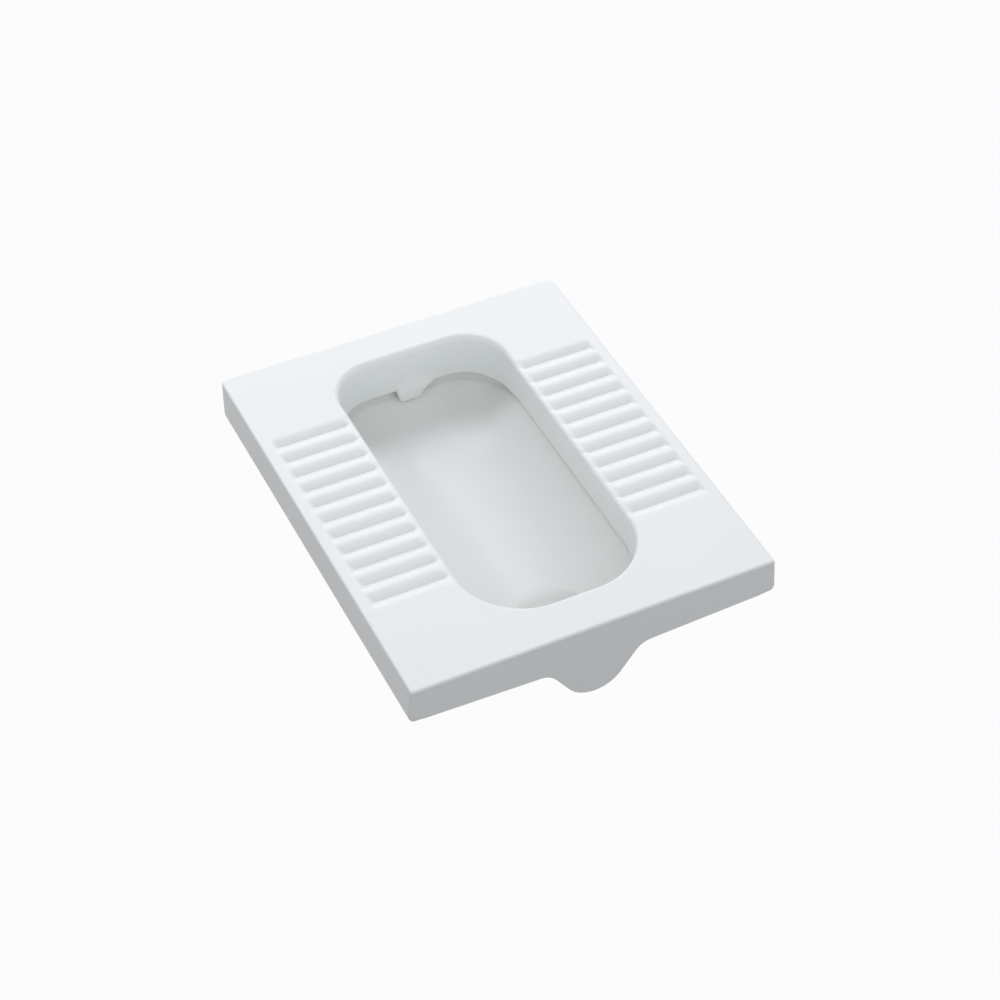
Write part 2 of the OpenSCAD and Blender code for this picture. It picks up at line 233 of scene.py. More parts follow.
# ---------------------------------------------------------------- material and node helpers
def linear(code):
    """An sRGB hex colour as linear RGBA."""
    parts = [int(code[k:k + 2], 16) / 255.0 for k in (0, 2, 4)]
    levels = [c / 12.92 if c <= 0.04045 else ((c + 0.055) / 1.055) ** 2.4 for c in parts]
    return (*levels, 1.0)


def add(tree, kind, inputs=(), output=0, **settings):
    """Adds a node, sets its properties, feeds its inputs with values or sockets, and returns one of
    its outputs. Inputs are a tuple in order, or a dictionary by name or number."""
    node = tree.nodes.new(kind)
    for key, value in settings.items():
        setattr(node, key, value)
    pairs = inputs.items() if isinstance(inputs, dict) else enumerate(inputs)
    for key, value in pairs:
        if isinstance(value, bpy.types.NodeSocket):
            tree.links.new(value, node.inputs[key])
        else:
            node.inputs[key].default_value = value
    return node.outputs[output] if len(node.outputs) else node


def new_material(name):
    material = bpy.data.materials.new(name)
    material.use_nodes = True
    material.node_tree.nodes.clear()
    return material


def glazed_vitreous_china(name, thin, thick):
    """Vitreous china, slip-cast, sprayed with an opaque white glaze and fired: a dense white with a
    faintly green-grey cast, a soft wet shine, and a skin that waves very slightly where the glaze
    ran and settled. Thin and thick are its colours where the glaze lies thinner and thicker."""
    material = new_material(name)
    tree = material.node_tree
    place = add(tree, "ShaderNodeTexCoord", output=3)
    # Glaze that ran thicker in places, in patches about 90 mm across, reads a touch greener
    patch = add(tree, "ShaderNodeTexNoise", {"Vector": place, "Scale": 11.0, "Detail": 2.0})
    body = add(tree, "ShaderNodeMix", {"Factor": patch, 6: linear(thin), 7: linear(thick)},
               output=2, data_type="RGBA")
    # The skin's slow waves are about 40 mm long, and its orange peel about 2.5 mm
    wave = add(tree, "ShaderNodeTexNoise", {"Vector": place, "Scale": 25.0, "Detail": 1.0})
    peel = add(tree, "ShaderNodeTexNoise", {"Vector": place, "Scale": 400.0, "Detail": 1.0})
    skin_height = add(tree, "ShaderNodeMath", (peel, 0.04, wave), operation="MULTIPLY_ADD")
    bump = add(tree, "ShaderNodeBump",
               {"Strength": 0.06, "Distance": 0.002, "Height": skin_height})
    shine = add(tree, "ShaderNodeMath", (patch, 0.06, 0.265), operation="MULTIPLY_ADD")
    surface = add(tree, "ShaderNodeBsdfPrincipled",
                  {"Base Color": body, "Roughness": shine, "IOR": 1.5,
                   "Specular IOR Level": 0.3, "Normal": bump})
    add(tree, "ShaderNodeOutputMaterial", {"Surface": surface})
    return material


def epdm_rubber():
    """EPDM rubber, compression moulded: near-black, dull, with the mould's fine matt grain and a
    grey bloom that comes out on its surface."""
    material = new_material("epdm_rubber")
    tree = material.node_tree
    place = add(tree, "ShaderNodeTexCoord", output=3)
    # Bloom lies in clouds about 12 mm across, and the grain is drawn at 0.8 mm so that it shows
    bloom = add(tree, "ShaderNodeTexNoise", {"Vector": place, "Scale": 80.0, "Detail": 4.0})
    grain = add(tree, "ShaderNodeTexNoise", {"Vector": place, "Scale": 1250.0, "Detail": 2.0})
    body = add(tree, "ShaderNodeMix", {"Factor": bloom, 6: linear("1E1F21"), 7: linear("35373A")},
               output=2, data_type="RGBA")
    bump = add(tree, "ShaderNodeBump", {"Strength": 0.25, "Distance": 0.0004, "Height": grain})
    matt = add(tree, "ShaderNodeMapRange", (bloom, 0.3, 0.7, 0.55, 0.75))
    surface = add(tree, "ShaderNodeBsdfPrincipled",
                  {"Base Color": body, "Roughness": matt, "IOR": 1.52, "Normal": bump})
    add(tree, "ShaderNodeOutputMaterial", {"Surface": surface})
    return material


def bright_for_the_eye(tree, surface, white_kind, share):
    """Mixes plain white into a surface, by that share, for what is seen directly or in gloss."""
    path = add(tree, "ShaderNodeLightPath").node.outputs
    seen = add(tree, "ShaderNodeMath", (path["Is Camera Ray"], path["Is Glossy Ray"]),
               operation="MAXIMUM")
    seen = add(tree, "ShaderNodeMath", (seen, path["Is Transmission Ray"]), operation="MAXIMUM")
    weight = add(tree, "ShaderNodeMath", (seen, share), operation="MULTIPLY")
    white = add(tree, white_kind, {"Color": (1.0, 1.0, 1.0, 1.0), "Strength": 1.0})
    return add(tree, "ShaderNodeMixShader", (weight, surface, white))


# ---------------------------------------------------------------- deck: its rings of points
# Columns along a side before a corner, round the corner, and along an end's straight foot, fillet,
# flank and lobe
SIDE_N, CORNER_N = 14, 12
LINE_N, FILLET_N, FLANK_N, LOBE_N = 20, 12, 4, 20
END_N = LINE_N + FILLET_N + FLANK_N + LOBE_N
CORNER_TURNS = np.linspace(0.0, QUARTER, CORNER_N, endpoint=False)
# Columns for each rib, and how far they crowd towards the grooves, in rib pitches
RIB_STEPS = 16
CROWDING = 0.11
# Columns from the treads' back end to the opening's back turn
AFT_N = 6

FRONT_TURN = OPEN_FRONT + OPEN_FRONT_R
BACK_TURN = OPEN_BACK - OPEN_BACK_R
FOOT_X = FOOT_HALF_W - FOOT_SIDE_R


def tread_columns():
    """The y of each column along the treads, from the front half rib to the back one and on to the
    opening's back turn. They crowd together at the grooves."""
    turns = np.arange(-RIB_STEPS // 2, RIB_STEPS * RIB_COUNT + RIB_STEPS // 2 + 1) / RIB_STEPS
    crowded = turns - CROWDING * np.sin(2 * math.pi * turns)
    treads = TREAD_MIDDLE + RIB_PITCH * (crowded - RIB_COUNT / 2)
    return np.concatenate([treads, np.linspace(treads[-1], BACK_TURN, AFT_N + 1)[1:]])


COLUMN_YS = tread_columns()


def back_drop(y):
    """How much lower everything round the opening hangs towards the back wall."""
    return BACK_DROP * eased_over(DROP_TO_BACK, y)


def whole_ring(half):
    """A ring from its right half, which runs from the middle of the front to that of the back."""
    return np.concatenate([half, half[1:-1][::-1] * np.array((-1.0, 1.0, 1.0))])


def foot_edge(radius, middle_z, dip, flank, fillet_r, from_x):
    """Half of an end apron's lower edge, from near the corner to the middle: a straight stretch
    that dips, a fillet, the lobe's flank and the round lobe. Gives its (x, z) points and the
    directions in the apron's plane from them into the china."""
    slope = dip / (FOOT_X - radius)
    tilt = math.atan(slope)
    above = np.array((-math.sin(tilt), math.cos(tilt)))
    beside = np.array((-math.sin(flank), math.cos(flank)))
    # The fillet's circle touches the straight stretch and the flank from outside
    drop = -slope * FOOT_X - fillet_r / above[1] - middle_z
    fillet_x = (radius + fillet_r + drop * beside[1]) / (-beside[0] - slope * beside[1])
    fillet = np.array((fillet_x, middle_z + drop + slope * fillet_x))
    lobe = np.array((0.0, middle_z))
    points, inward = [], []
    for t in np.linspace(0.0, 1.0, LINE_N, endpoint=False):
        x = mix(from_x, fillet_x + fillet_r * above[0], (1 - math.cos(math.pi * t)) / 2)
        points.append((x, slope * (x - FOOT_X)))
        inward.append(above)
    for turn in np.linspace(tilt, flank, FILLET_N, endpoint=False):
        direction = np.array((-math.sin(turn), math.cos(turn)))
        points.append(fillet + fillet_r * direction)
        inward.append(direction)
    for t in np.linspace(0.0, 1.0, FLANK_N, endpoint=False):
        points.append(mix(fillet + fillet_r * beside, lobe - radius * beside, t))
        inward.append(beside)
    for turn in np.linspace(flank, 0.0, LOBE_N):
        direction = np.array((-math.sin(turn), math.cos(turn)))
        points.append(lobe - radius * direction)
        inward.append(direction)
    return np.array(points), np.array(inward)


def foot_edges(front_x, back_x):
    """The front and the back apron's lower edges, which start at front_x and back_x."""
    return (foot_edge(LOBE_R, LOBE_BOTTOM + LOBE_R, APRON_DIP, LOBE_FLANK, LOBE_FILLET_R, front_x),
            foot_edge(BACK_LOBE_R, INLET_Z, 0.0, BACK_LOBE_FLANK, BACK_LOBE_FILLET_R, back_x))


def level_edges(from_x):
    """Points along both ends at one level, fanned out from those along the aprons' feet. The fan
    has a share of from_x at each change from straight foot to fillet, flank and lobe."""
    bends = np.cumsum([0, LINE_N, FILLET_N, FLANK_N, LOBE_N - 1])
    fan = np.array([1.0, 0.42, 0.33, 0.22, 0.0]) * from_x
    x = np.interp(np.arange(END_N), bends, fan)
    level = (np.column_stack([x, np.zeros(END_N)]), None)
    return level, level


def slab_ring(half_w, half_l, front_r, back_r, edges):
    """A ring round the slab, with its points along the ends as given."""
    halves = []
    for sign, radius, (points, _) in zip((-1, 1), (front_r, back_r), edges):
        start_y = COLUMN_YS[0] if sign < 0 else COLUMN_YS[-1]
        turn_y = half_l - radius
        side_y = np.linspace(start_y, sign * turn_y, SIDE_N, endpoint=False)
        corner_x = half_w - radius + radius * np.cos(CORNER_TURNS)
        corner_y = sign * (turn_y + radius * np.sin(CORNER_TURNS))
        x, z = points.T
        halves.append(np.concatenate([
            flat_points(np.full(SIDE_N, half_w), side_y),
            flat_points(corner_x, corner_y),
            np.column_stack([x, np.full(END_N, sign * half_l), z]),
        ]))
    middle_y = COLUMN_YS[1:-1]
    middle = flat_points(np.full(len(middle_y), half_w), middle_y)
    return whole_ring(np.concatenate([halves[0][::-1], middle, halves[1]]))


def slab_directions():
    """For each point of a ring round the slab: the way out of it, the way up from the apron's foot
    into the china, and how much of the side's foot rounding it has."""
    halves = []
    for sign, (_, inward) in zip((-1, 1), foot_edges(FOOT_X, FOOT_X)):
        out = np.concatenate([
            np.tile((1.0, 0.0, 0.0), (SIDE_N, 1)),
            flat_points(np.cos(CORNER_TURNS), sign * np.sin(CORNER_TURNS)),
            np.tile((0.0, float(sign), 0.0), (END_N, 1)),
        ])
        up = np.concatenate([
            np.tile(Z, (SIDE_N + CORNER_N, 1)),
            np.column_stack([inward[:, 0], np.zeros(END_N), inward[:, 1]]),
        ])
        share = np.concatenate([np.ones(SIDE_N + CORNER_N), 1 - smooth(np.arange(END_N) / 4)])
        halves.append((out, up, np.outer(share, np.ones(3))))
    middle_n = len(COLUMN_YS) - 2
    middles = (np.tile((1.0, 0.0, 0.0), (middle_n, 1)), np.tile(Z, (middle_n, 1)),
               np.ones((middle_n, 3)))
    rings = [whole_ring(np.concatenate([front[::-1], middle, back]))
             for front, middle, back in zip(halves[0], middles, halves[1])]
    return rings[0], rings[1], np.abs(rings[2][:, 0])


def opening_end(sign, radius, start_turn):
    """Half of one end of the opening's edge, from its side round its corner and on to the middle,
    with the directions into the deck."""
    turn_y = FRONT_TURN if sign < 0 else BACK_TURN
    centre_x = OPEN_HALF_W - radius
    half_turn = QUARTER / 2
    first_n = SIDE_N + CORNER_N // 2
    along = np.linspace(0.0, radius * half_turn + centre_x, SIDE_N + CORNER_N + END_N - first_n)
    turns = np.concatenate([np.linspace(start_turn, half_turn, first_n, endpoint=False),
                            np.minimum(half_turn + along / radius, QUARTER)])
    past = np.concatenate([np.zeros(first_n), np.maximum(along - radius * half_turn, 0.0)])
    into = flat_points(np.cos(turns), sign * np.sin(turns))
    edge = flat_points(centre_x + radius * np.cos(turns) - past,
                       turn_y + sign * radius * np.sin(turns))
    return edge, into


def opening_ring():
    """The ring of the opening's edge, and the directions from it into the deck."""
    front_start = math.asin((FRONT_TURN - COLUMN_YS[0]) / OPEN_FRONT_R)
    front = opening_end(-1, OPEN_FRONT_R, front_start)
    back = opening_end(1, OPEN_BACK_R, 0.0)
    y = COLUMN_YS[1:-1]
    turns = np.arcsin(np.minimum((y - FRONT_TURN) / OPEN_FRONT_R, 0.0))
    middle = (flat_points(OPEN_HALF_W - OPEN_FRONT_R * (1 - np.cos(turns)), y),
              flat_points(np.cos(turns), np.sin(turns)))
    return [whole_ring(np.concatenate([front[k][::-1], middle[k], back[k]])) for k in (0, 1)]


def roll_radius(y):
    """Radius of the opening's rolled edge at y."""
    back = eased_over(ROLL_TO_BACK, y)
    front = eased_over(ROLL_TO_FRONT, y)
    return mix(mix(ROLL_SIDE, ROLL_BACK, back), ROLL_FRONT, front)


# ---------------------------------------------------------------- deck: the mesh
# Rings across the deck, as shares of the way from the opening to the slab's edge: close together
# over the strip along the opening and where the treads run out, and further apart between
STRIP_TO = 0.13
RUN_OUT_FROM = 0.79
RUN_OUT_TO = 0.95
# A flat stretch ends in a ring this close to each rounding
HOLD = 0.8
# The foot's rounding keeps at least this radius at the front corners
LEAST_CORNER_R = 0.5


def foot_ring(share):
    """The ring on the foot's rounding whose inset is that share of the rounding's radius."""
    side_in = share * FOOT_SIDE_R
    end_in = share * FOOT_END_R
    corner_in = (side_in + end_in) / 2
    front_r = max(FRONT_CORNER_R - corner_in, LEAST_CORNER_R)
    back_r = BACK_FOOT_CORNER_R - corner_in
    edges = foot_edges(FOOT_X - 1.0, FOOT_X - BACK_FOOT_CORNER_R + FOOT_SIDE_R / 2)
    return slab_ring(FOOT_HALF_W - side_in, HALF_L - end_in, front_r, back_r, edges)


def inner_ring(growth, edges):
    """The ring along the apron's inside, grown outwards."""
    return slab_ring(HALF_W - APRON_T + growth, HALF_L - APRON_T + growth,
                     INNER_CORNER_R + growth, INNER_CORNER_R + growth, edges)


def deck_rows():
    """Rings of the deck shell's section, up the opening's wall, over the deck, down the apron and
    back along the underside."""
    edge, into = opening_ring()
    out, up, side_share = slab_directions()
    rim = slab_ring(HALF_W, HALF_L, FRONT_CORNER_R, BACK_CORNER_R,
                    level_edges(HALF_W - BACK_CORNER_R))
    roll = roll_radius(edge[:, 1])
    wall_low = TOP - RIM_DEPTH - back_drop(edge[:, 1])
    rows = []

    def stretch(start, end, shares):
        """Rings between two rings, the first and last of them a little inside the stretch."""
        length = np.linalg.norm(end - start, axis=1)
        tuck = np.minimum(HOLD / np.maximum(length, HOLD), 0.3)
        for share in shares:
            rows.append(mix(start, end, column(mix(tuck, 1 - tuck, share))))

    def turn(centre, radius, first, second, steps):
        """A quarter turn about the centre, from one direction to the other."""
        for a in np.linspace(0.0, QUARTER, steps + 1):
            rows.append(centre + column(radius) * (first * math.cos(a) + second * math.sin(a)))

    def fixed(value):
        """The same value for each point of a ring."""
        return np.full(len(edge), value)

    # Up the opening's wall, over its rolled edge and across the deck
    wall_foot = edge - into * RIM_LEAN
    stretch(wall_foot + Z * column(wall_low + RIM_EDGE_R), edge + Z * column(TOP - roll),
            np.linspace(0, 1, 7))
    turn(edge + into * column(roll) + Z * column(TOP - roll), roll, -into, Z, 8)
    near_opening = np.linspace(0.0, STRIP_TO, 12)
    across = np.linspace(STRIP_TO, RUN_OUT_FROM, 9)[1:]
    run_out = np.linspace(RUN_OUT_FROM, RUN_OUT_TO, 14)[1:]
    stretch(edge + into * column(roll) + Z * TOP, rim - out * TOP_EDGE_R + Z * TOP,
            np.concatenate([near_opening, across, run_out, [1.0]]))
    # Down the apron and round its foot
    turn(rim - out * TOP_EDGE_R + Z * (TOP - TOP_EDGE_R), fixed(TOP_EDGE_R), Z, out, 6)
    foot_rise = up * column(mix(FOOT_END_R, FOOT_SIDE_R, side_share))
    stretch(rim + Z * (TOP - TOP_EDGE_R), foot_ring(0.0) + foot_rise, np.linspace(0, 1, 8))
    for a in np.linspace(0.0, QUARTER, 9):
        rows.append(foot_ring(1 - math.cos(a)) + foot_rise * (1 - math.sin(a)))
    inner_x = HALF_W - APRON_T - INNER_CORNER_R
    for a in np.linspace(0.0, QUARTER, 5):
        rows.append(inner_ring(FOOT_INNER_R * (1 - math.sin(a)), foot_edges(inner_x, inner_x))
                    + up * (FOOT_INNER_R * (1 - math.cos(a))))
    # Up the apron's inside, along the deck's underside and down behind the rim wall
    under = TOP - DECK_T
    stretch(inner_ring(0.0, foot_edges(inner_x, inner_x)) + up * FOOT_INNER_R,
            inner_ring(0.0, level_edges(inner_x)) + Z * (under - INNER_FILLET_R),
            np.linspace(0, 1, 6))
    for a in np.linspace(0.0, QUARTER, 5):
        rows.append(inner_ring(-INNER_FILLET_R * (1 - math.cos(a)), level_edges(inner_x))
                    + Z * (under - INNER_FILLET_R * (1 - math.sin(a))))
    under_in = edge + into * (RIM_WALL_T + INNER_FILLET_R)
    stretch(inner_ring(-INNER_FILLET_R, level_edges(inner_x)) + Z * under, under_in + Z * under,
            np.linspace(0, 1, 6))
    for a in np.linspace(0.0, QUARTER, 5):
        rows.append(under_in - into * (INNER_FILLET_R * math.sin(a))
                    + Z * (under - INNER_FILLET_R * (1 - math.cos(a))))
    behind = edge + into * RIM_WALL_T
    turn_height = Z * column(wall_low + RIM_EDGE_R)
    stretch(behind + Z * (under - INNER_FILLET_R), behind + turn_height, [0, 0.5, 1])
    turn(behind - into * RIM_EDGE_R + turn_height, fixed(RIM_EDGE_R), into, -Z, 5)
    turn(wall_foot + into * RIM_EDGE_R + turn_height, fixed(RIM_EDGE_R), -Z, -into, 7)
    return rows


def foot_tread_tree():
    """Geometry Nodes that press the rows of grooves into the deck and leave the ribs standing. Each
    rib's back is an arc, and the grooves are the sharp valleys between the arcs. The grooves end
    in a short rise at the slab's side and in a low strip along the opening. Only points on the
    deck's face and its rolled edge are lowered."""
    tree = bpy.data.node_groups.new("foot treads", "GeometryNodeTree")
    sockets = tree.interface
    sockets.new_socket("Geometry", in_out="INPUT", socket_type="NodeSocketGeometry")
    sizes = {
        "Rib pitch": RIB_PITCH, "Rib height": RIB_H, "Treads' middle": TREAD_MIDDLE,
        "Treads' outer end": TREAD_OUTER, "Outer rise": TREAD_FADE,
        "Ribs' inner end": OPEN_HALF_W + STRIP_W, "Inner rise": STRIP_FADE,
        "Strip's drop": STRIP_DROP, "Deck's face": TOP, "Rolled edge": ROLL_SIDE,
    }
    for name in sizes:
        sockets.new_socket(name, in_out="INPUT", socket_type="NodeSocketFloat")
    sockets.new_socket("Rib count", in_out="INPUT", socket_type="NodeSocketInt")
    sockets.new_socket("Strip's wave", in_out="INPUT", socket_type="NodeSocketFloat")
    sockets.new_socket("China", in_out="INPUT", socket_type="NodeSocketMaterial")
    sockets.new_socket("Geometry", in_out="OUTPUT", socket_type="NodeSocketGeometry")
    given = add(tree, "NodeGroupInput").node.outputs
    pitch = given["Rib pitch"]
    height = given["Rib height"]
    where = add(tree, "GeometryNodeInputPosition")
    split = add(tree, "ShaderNodeSeparateXYZ", (where,)).node.outputs
    x = add(tree, "ShaderNodeMath", (split[0],), operation="ABSOLUTE")
    from_middle = add(tree, "ShaderNodeMath", (split[1], given["Treads' middle"]),
                      operation="SUBTRACT")

    # Distance from the nearest rib's crest, an even count having a groove in the middle
    odd = add(tree, "ShaderNodeMath", (given["Rib count"], 2.0), operation="MODULO")
    shift = add(tree, "ShaderNodeMath", (odd, -0.5, 0.5), operation="MULTIPLY_ADD")
    cell = add(tree, "ShaderNodeMath", (from_middle, pitch), operation="DIVIDE")
    cell = add(tree, "ShaderNodeMath", (cell, shift), operation="SUBTRACT")
    nearest = add(tree, "ShaderNodeMath", (cell,), operation="ROUND")
    off_crest = add(tree, "ShaderNodeMath", (cell, nearest), operation="SUBTRACT")
    off_crest = add(tree, "ShaderNodeMath", (off_crest, pitch), operation="MULTIPLY")

    # Drop of the rib's arc at that distance
    half_pitch = add(tree, "ShaderNodeMath", (pitch, 0.5), operation="MULTIPLY")
    height_squared = add(tree, "ShaderNodeMath", (height, height), operation="MULTIPLY")
    chord = add(tree, "ShaderNodeMath", (half_pitch, half_pitch, height_squared),
                operation="MULTIPLY_ADD")
    twice = add(tree, "ShaderNodeMath", (height, 2.0), operation="MULTIPLY")
    radius = add(tree, "ShaderNodeMath", (chord, twice), operation="DIVIDE")
    radius_squared = add(tree, "ShaderNodeMath", (radius, radius), operation="MULTIPLY")
    off_squared = add(tree, "ShaderNodeMath", (off_crest, off_crest), operation="MULTIPLY")
    under = add(tree, "ShaderNodeMath", (radius_squared, off_squared), operation="SUBTRACT")
    under = add(tree, "ShaderNodeMath", (under,), operation="SQRT")
    drop = add(tree, "ShaderNodeMath", (radius, under), operation="SUBTRACT")

    # At the slab's side the grooves' bed, a little deeper than the grooves, rises to the deck
    rise_start = add(tree, "ShaderNodeMath", (given["Treads' outer end"], given["Outer rise"]),
                     operation="SUBTRACT")
    bed = add(tree, "ShaderNodeMapRange", {
        "Value": x, "From Min": given["Treads' outer end"], "From Max": rise_start,
        "To Min": 0.0, "To Max": GROOVE_BED}, interpolation_type="SMOOTHSTEP")
    bed = add(tree, "ShaderNodeMath", (bed, height), operation="MULTIPLY")
    sunk = add(tree, "ShaderNodeMath", (drop, bed, GROOVE_BLEND * METRE), operation="SMOOTH_MIN")
    sunk = add(tree, "ShaderNodeMath", (sunk, 0.0), operation="MAXIMUM")

    # Along the opening the ribs step down to a strip, in which the grooves live on as a wave
    strip_end = add(tree, "ShaderNodeMath", (given["Ribs' inner end"], given["Inner rise"]),
                    operation="ADD")
    ribs_share = add(tree, "ShaderNodeMapRange", {
        "Value": x, "From Min": given["Ribs' inner end"], "From Max": strip_end,
        "To Min": given["Strip's wave"], "To Max": 1.0}, interpolation_type="SMOOTHSTEP")
    over_strip = add(tree, "ShaderNodeMath", (sunk, given["Strip's drop"]), operation="SUBTRACT")
    sunk = add(tree, "ShaderNodeMath", (over_strip, ribs_share, given["Strip's drop"]),
               operation="MULTIPLY_ADD")

    # All of it runs out over the half ribs at the treads' ends, and stays off the rolled edge
    off_middle = add(tree, "ShaderNodeMath", (from_middle,), operation="ABSOLUTE")
    ends = add(tree, "ShaderNodeMath", (given["Rib count"], 1.0), operation="ADD")
    ends = add(tree, "ShaderNodeMath", (ends, half_pitch), operation="MULTIPLY")
    last_groove = add(tree, "ShaderNodeMath", (ends, half_pitch), operation="SUBTRACT")
    in_field = add(tree, "ShaderNodeMapRange", {
        "Value": off_middle, "From Min": ends, "From Max": last_groove,
        "To Min": 0.0, "To Max": 3.0})
    roll_foot = add(tree, "ShaderNodeMath", (given["Deck's face"], given["Rolled edge"]),
                    operation="SUBTRACT")
    on_face = add(tree, "ShaderNodeMapRange", {
        "Value": split[2], "From Min": roll_foot, "From Max": given["Deck's face"],
        "To Min": 0.0, "To Max": 1.0})
    held = add(tree, "ShaderNodeMath", (in_field, 1.0), operation="MINIMUM")
    held = add(tree, "ShaderNodeMath", (held, on_face), operation="MULTIPLY")
    lowered = add(tree, "ShaderNodeMath", (sunk, held), operation="MULTIPLY")
    lowered = add(tree, "ShaderNodeMath", (lowered, -1.0), operation="MULTIPLY")
    offset = add(tree, "ShaderNodeCombineXYZ", (0.0, 0.0, lowered))
    shaped = add(tree, "GeometryNodeSetPosition", {"Geometry": given["Geometry"], "Offset": offset})
    real = add(tree, "GeometryNodeRealizeInstances", {"Geometry": shaped})
    glazed = add(tree, "GeometryNodeSetMaterial", {"Geometry": real, "Material": given["China"]})
    add(tree, "NodeGroupOutput", {"Geometry": glazed})
    return tree, sizes


def press_treads(deck, china):
    """Runs the tread nodes on the deck and keeps their result as its mesh."""
    tree, sizes = foot_tread_tree()
    modifier = deck.modifiers.new("foot treads", "NODES")
    modifier.node_group = tree
    values = {name: size * METRE for name, size in sizes.items()}
    values.update({"Rib count": RIB_COUNT, "Strip's wave": STRIP_WAVE, "China": china})
    for item in tree.interface.items_tree:
        if item.in_out == "INPUT" and item.name in values:
            modifier[item.identifier] = values[item.name]
    shaped = deck.evaluated_get(bpy.context.evaluated_depsgraph_get())
    mesh = bpy.data.meshes.new_from_object(shaped)
    mesh.name = deck.name
    deck.modifiers.remove(modifier)
    deck.data = mesh


def deck_shell(china):
    """Deck, apron, lobe, rim wall and foot treads: one casting."""
    deck = skin("deck_shell", deck_rows())
    press_treads(deck, china)
    return deck


# ---------------------------------------------------------------- bowl
BOWL_END = -NOSE_END - END_GAP
SLOT_FLOOR = RIM_DEPTH + SLOT_H
FALL = BOWL_DEPTH - SLOT_FLOOR
GULLY_OUT = RIM_WALL_T + GULLY_W
BOWL_OUT = GULLY_OUT + BOWL_T
# The walls' curve ends at this outline of the floor, in from the opening's edge
FOOT_IN = -60.0
MOUTH_R = 3.0
SUMP_R = BORE_R + MOUTH_R
# Inside the opening's edge the outlines draw in less at their front, back and back corners than
# along their sides, by these shares
FRONT_IN = 0.2
BACK_IN = 0.8
CORNER_IN = 0.35
# The floor falls from here to the front, and sinks into the sump over this distance
FALL_START = OPEN_BACK - 103.0
SUMP_RUN = 16.0
# At the opening's edge the bowl lies this share of its fall below the slot's floor, and hangs with
# this share of the back wall's drop
EDGE_FALL = 0.03
EDGE_DROP = 1.8
# How full the curve is from the edge down to the floor, along the sides and at the back, and the
# stretch of y over which it changes
DISH_POWER = 2.1
DISH_BACK_POWER = 4.0
DISH_TO_BACK = (100.0, 120.0)
# The floor's thickness, measured straight down
FLOOR_T = 1.1 * BOWL_T

# Rows down the bowl's walls outside the opening's edge: distance from that edge, depth below the
# deck, and share of the back wall's drop
INSIDE_WALL = [
    (GULLY_OUT, DECK_T, 0.0),
    (GULLY_OUT, SLOT_FLOOR - 14.0, 1.0),
    (GULLY_OUT - 2.0, SLOT_FLOOR - 8.0, 1.0),
    (GULLY_OUT - 7.0, SLOT_FLOOR - 3.0, 1.0),
    (RIM_WALL_T + 4.0, SLOT_FLOOR, 1.05),
    (RIM_WALL_T, SLOT_FLOOR, 1.2),
    (6.0, SLOT_FLOOR, 1.6),
    (2.5, SLOT_FLOOR + 0.5, 1.78),
    (0.0, SLOT_FLOOR + EDGE_FALL * FALL, EDGE_DROP),
]
OUTSIDE_WALL = [
    (BOWL_OUT, DECK_T, 0.0),
    (BOWL_OUT, SLOT_FLOOR - 5.0, 1.0),
    (BOWL_OUT - 3.0, SLOT_FLOOR + 4.0, 1.0),
    (BOWL_OUT - 13.0, SLOT_FLOOR + 0.72 * BOWL_T, 1.2),
    (RIM_WALL_T - 2.0, SLOT_FLOOR + FLOOR_T, 1.5),
    (0.0, SLOT_FLOOR + EDGE_FALL * FALL + FLOOR_T, EDGE_DROP),
]


def soft_steps(rows, steps):
    """More rows between the given ones, on a smooth curve through them."""
    given = np.array(rows, float)
    slopes = np.gradient(given, axis=0)
    finer = []
    for k in range(len(given) - 1):
        for t in np.linspace(0.0, 1.0, steps, endpoint=False):
            ease = t * t * (3 - 2 * t)
            bend = (1 - t) * t
            straight = given[k + 1] - given[k]
            finer.append(given[k] + ease * straight
                         + bend * ((1 - t) * slopes[k] - t * slopes[k + 1]))
    finer.append(given[-1])
    return finer


def bowl_outline(g, s, radius, front, arc_n=28, side_n=40):
    """The opening's outline grown by g, closing in with s on a circle of that radius at the
    sump."""
    half = mix(OPEN_HALF_W + g, radius, s)
    y_front = mix(front - FRONT_IN * min(g, 0.0), OUTLET_Y - radius, s)
    stretch = (BOWL_END - OPEN_BACK) / BOWL_OUT if g > 0 else BACK_IN
    y_back = mix(OPEN_BACK + g * stretch, OUTLET_Y + radius, s)
    r_front = min(mix(OPEN_FRONT_R + g, radius, s), half - 1.0)
    back_g = g if g > 0 else g * CORNER_IN
    r_back = min(mix(OPEN_BACK_R + back_g, radius, min(3 * s, 1.0)), half - 1.0)
    right = arc((half - r_front, y_front + r_front), r_front, -90.0, 0.0, arc_n)
    side_y = np.linspace(y_front + r_front, y_back - r_back, side_n + 1)[1:-1]
    right += [(half, y) for y in side_y]
    right += arc((half - r_back, y_back - r_back), r_back, 0.0, 90.0, arc_n)
    left = [(-x, y) for x, y in right[::-1]]
    return np.array([(0.0, y_front)] + right + [(0.0, y_back)] + left)


def fall_at(y):
    """How much deeper the floor is at y than at its back end."""
    return FLOOR_FALL * (FALL_START - np.minimum(y, FALL_START))


def inside_edge(x, y, front):
    """How far inside the bowl's edge a point lies, with the ends' distances stretched as in the
    outlines, and eased where two sides are equally near."""
    side = OPEN_HALF_W - np.abs(x)
    from_front = (y - front) / FRONT_IN
    from_back = (OPEN_BACK - y) / BACK_IN
    near = np.maximum(np.stack([side, from_front, from_back]), 1.0)
    return (near ** -4.0).sum(axis=0) ** -0.25


